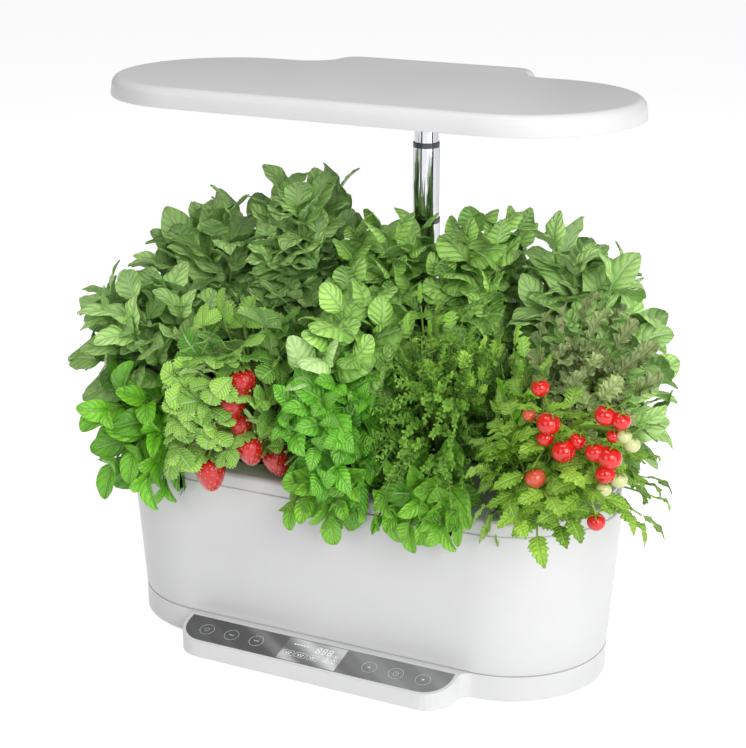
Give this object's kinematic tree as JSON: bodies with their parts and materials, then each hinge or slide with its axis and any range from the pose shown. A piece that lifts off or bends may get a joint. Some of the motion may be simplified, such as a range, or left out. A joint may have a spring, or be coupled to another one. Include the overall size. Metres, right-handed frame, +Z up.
{
  "type": "countertop hydroponic garden",
  "caption": "Round-ended hydroponic planter with herbs, berries and cherry tomatoes under a grow lamp on a telescopic post, with a sloping touch panel.",
  "frame": {"origin": "on the surface it stands on, under the middle of the base", "axes": "+X along the tank, to the right seen from the front; +Y from the touch panel to the post; +Z up along the post"},
  "size_m": [0.53, 0.2735, 0.46],
  "materials": {
    "white_plastic": "satin",
    "grey_plastic": "matte",
    "black_plastic": "matte",
    "red_plastic": "satin",
    "panel_acrylic": "gloss",
    "display_glass": "gloss",
    "green_board": "satin",
    "copper_spring": "satin",
    "steel_screw": "satin",
    "rubber": "matte",
    "chrome_tube": "polished",
    "dark_collar": "satin",
    "diffuser": "satin",
    "light_board": "matte",
    "light_chip": "gloss",
    "sponge": "matte",
    "foliage": "satin",
    "magnet": "matte"
  },
  "bodies": {
    "base": {"base_housing": "white_plastic", "bottom_cover": "grey_plastic", "rubber_feet": "rubber", "cover_screws": "steel_screw", "control_panel": "panel_acrylic", "display_module": "display_glass", "control_board": "green_board", "touch_springs": "copper_spring", "power_inlet": "black_plastic", "post_socket": "white_plastic", "water_tank": "white_plastic", "pump_housing": "black_plastic", "pump_cover": "black_plastic", "riser_tube": "grey_plastic", "pump_lead": "black_plastic", "lower_tube": "chrome_tube", "lower_collar": "dark_collar"},
    "pump_rotor_set": {"pump_rotor": "magnet"},
    "lid": {"grow_lid": "white_plastic", "cap_pin": "steel_screw"},
    "cap": {"fill_cap": "white_plastic"},
    "water_float": {"level_float": "red_plastic"},
    "pod_1": {"pod_basket_1": "black_plastic", "grow_sponge_1": "sponge", "bush_basil_1": "foliage"},
    "pod_2": {"pod_basket_2": "black_plastic", "grow_sponge_2": "sponge", "strawberry_2": "foliage"},
    "pod_3": {"pod_basket_3": "black_plastic", "grow_sponge_3": "sponge", "mint_3": "foliage"},
    "pod_4": {"pod_basket_4": "black_plastic", "grow_sponge_4": "sponge", "thyme_4": "foliage"},
    "pod_5": {"pod_basket_5": "black_plastic", "grow_sponge_5": "sponge", "tomato_5": "foliage"},
    "pod_6": {"pod_basket_6": "black_plastic", "grow_sponge_6": "sponge", "sweet_basil_6": "foliage"},
    "pod_7": {"pod_basket_7": "black_plastic", "grow_sponge_7": "sponge", "sweet_basil_7": "foliage"},
    "pod_8": {"pod_basket_8": "black_plastic", "grow_sponge_8": "sponge", "green_basil_8": "foliage"},
    "pod_9": {"pod_basket_9": "black_plastic", "grow_sponge_9": "sponge", "green_basil_9": "foliage"},
    "pod_10": {"pod_basket_10": "black_plastic", "grow_sponge_10": "sponge", "sweet_basil_10": "foliage"},
    "middle_post": {"middle_tube": "chrome_tube", "middle_collar": "dark_collar"},
    "lamp": {"upper_tube": "chrome_tube", "lamp_shell": "white_plastic", "lamp_lens": "diffuser", "led_board": "light_board", "led_chips": "light_chip", "lamp_screws": "steel_screw"}
  },
  "joints": [
    {"name": "lid_lift", "type": "slide", "parent": "base", "child": "lid", "axis": [0, 0, 1], "range_m": [0, 0.04]},
    {"name": "cap_hinge", "type": "hinge", "parent": "lid", "child": "cap", "pos_m": [0.1754, 0, 0.157], "axis": [0, -1, 0], "range_deg": [0, 100]},
    {"name": "float_rise", "type": "slide", "parent": "lid", "child": "water_float", "axis": [0, 0, 1], "range_m": [0, 0.035]},
    {"name": "pod_1_lift", "type": "slide", "parent": "lid", "child": "pod_1", "axis": [0, 0, 1], "range_m": [0, 0.048]},
    {"name": "pod_2_lift", "type": "slide", "parent": "lid", "child": "pod_2", "axis": [0, 0, 1], "range_m": [0, 0.048]},
    {"name": "pod_3_lift", "type": "slide", "parent": "lid", "child": "pod_3", "axis": [0, 0, 1], "range_m": [0, 0.048]},
    {"name": "pod_4_lift", "type": "slide", "parent": "lid", "child": "pod_4", "axis": [0, 0, 1], "range_m": [0, 0.048]},
    {"name": "pod_5_lift", "type": "slide", "parent": "lid", "child": "pod_5", "axis": [0, 0, 1], "range_m": [0, 0.048]},
    {"name": "pod_6_lift", "type": "slide", "parent": "lid", "child": "pod_6", "axis": [0, 0, 1], "range_m": [0, 0.048]},
    {"name": "pod_7_lift", "type": "slide", "parent": "lid", "child": "pod_7", "axis": [0, 0, 1], "range_m": [0, 0.048]},
    {"name": "pod_8_lift", "type": "slide", "parent": "lid", "child": "pod_8", "axis": [0, 0, 1], "range_m": [0, 0.048]},
    {"name": "pod_9_lift", "type": "slide", "parent": "lid", "child": "pod_9", "axis": [0, 0, 1], "range_m": [0, 0.048]},
    {"name": "pod_10_lift", "type": "slide", "parent": "lid", "child": "pod_10", "axis": [0, 0, 1], "range_m": [0, 0.048]},
    {"name": "rotor_spin", "type": "hinge", "parent": "base", "child": "pump_rotor_set", "pos_m": [0.062, 0, 0.042], "axis": [1, 0, 0], "continuous": true},
    {"name": "middle_slide", "type": "slide", "parent": "base", "child": "middle_post", "axis": [0, 0, 1], "range_m": [-0.025, 0.075]},
    {"name": "lamp_slide", "type": "slide", "parent": "middle_post", "child": "lamp", "axis": [0, 0, 1], "range_m": [-0.025, 0.06]}
  ]
}
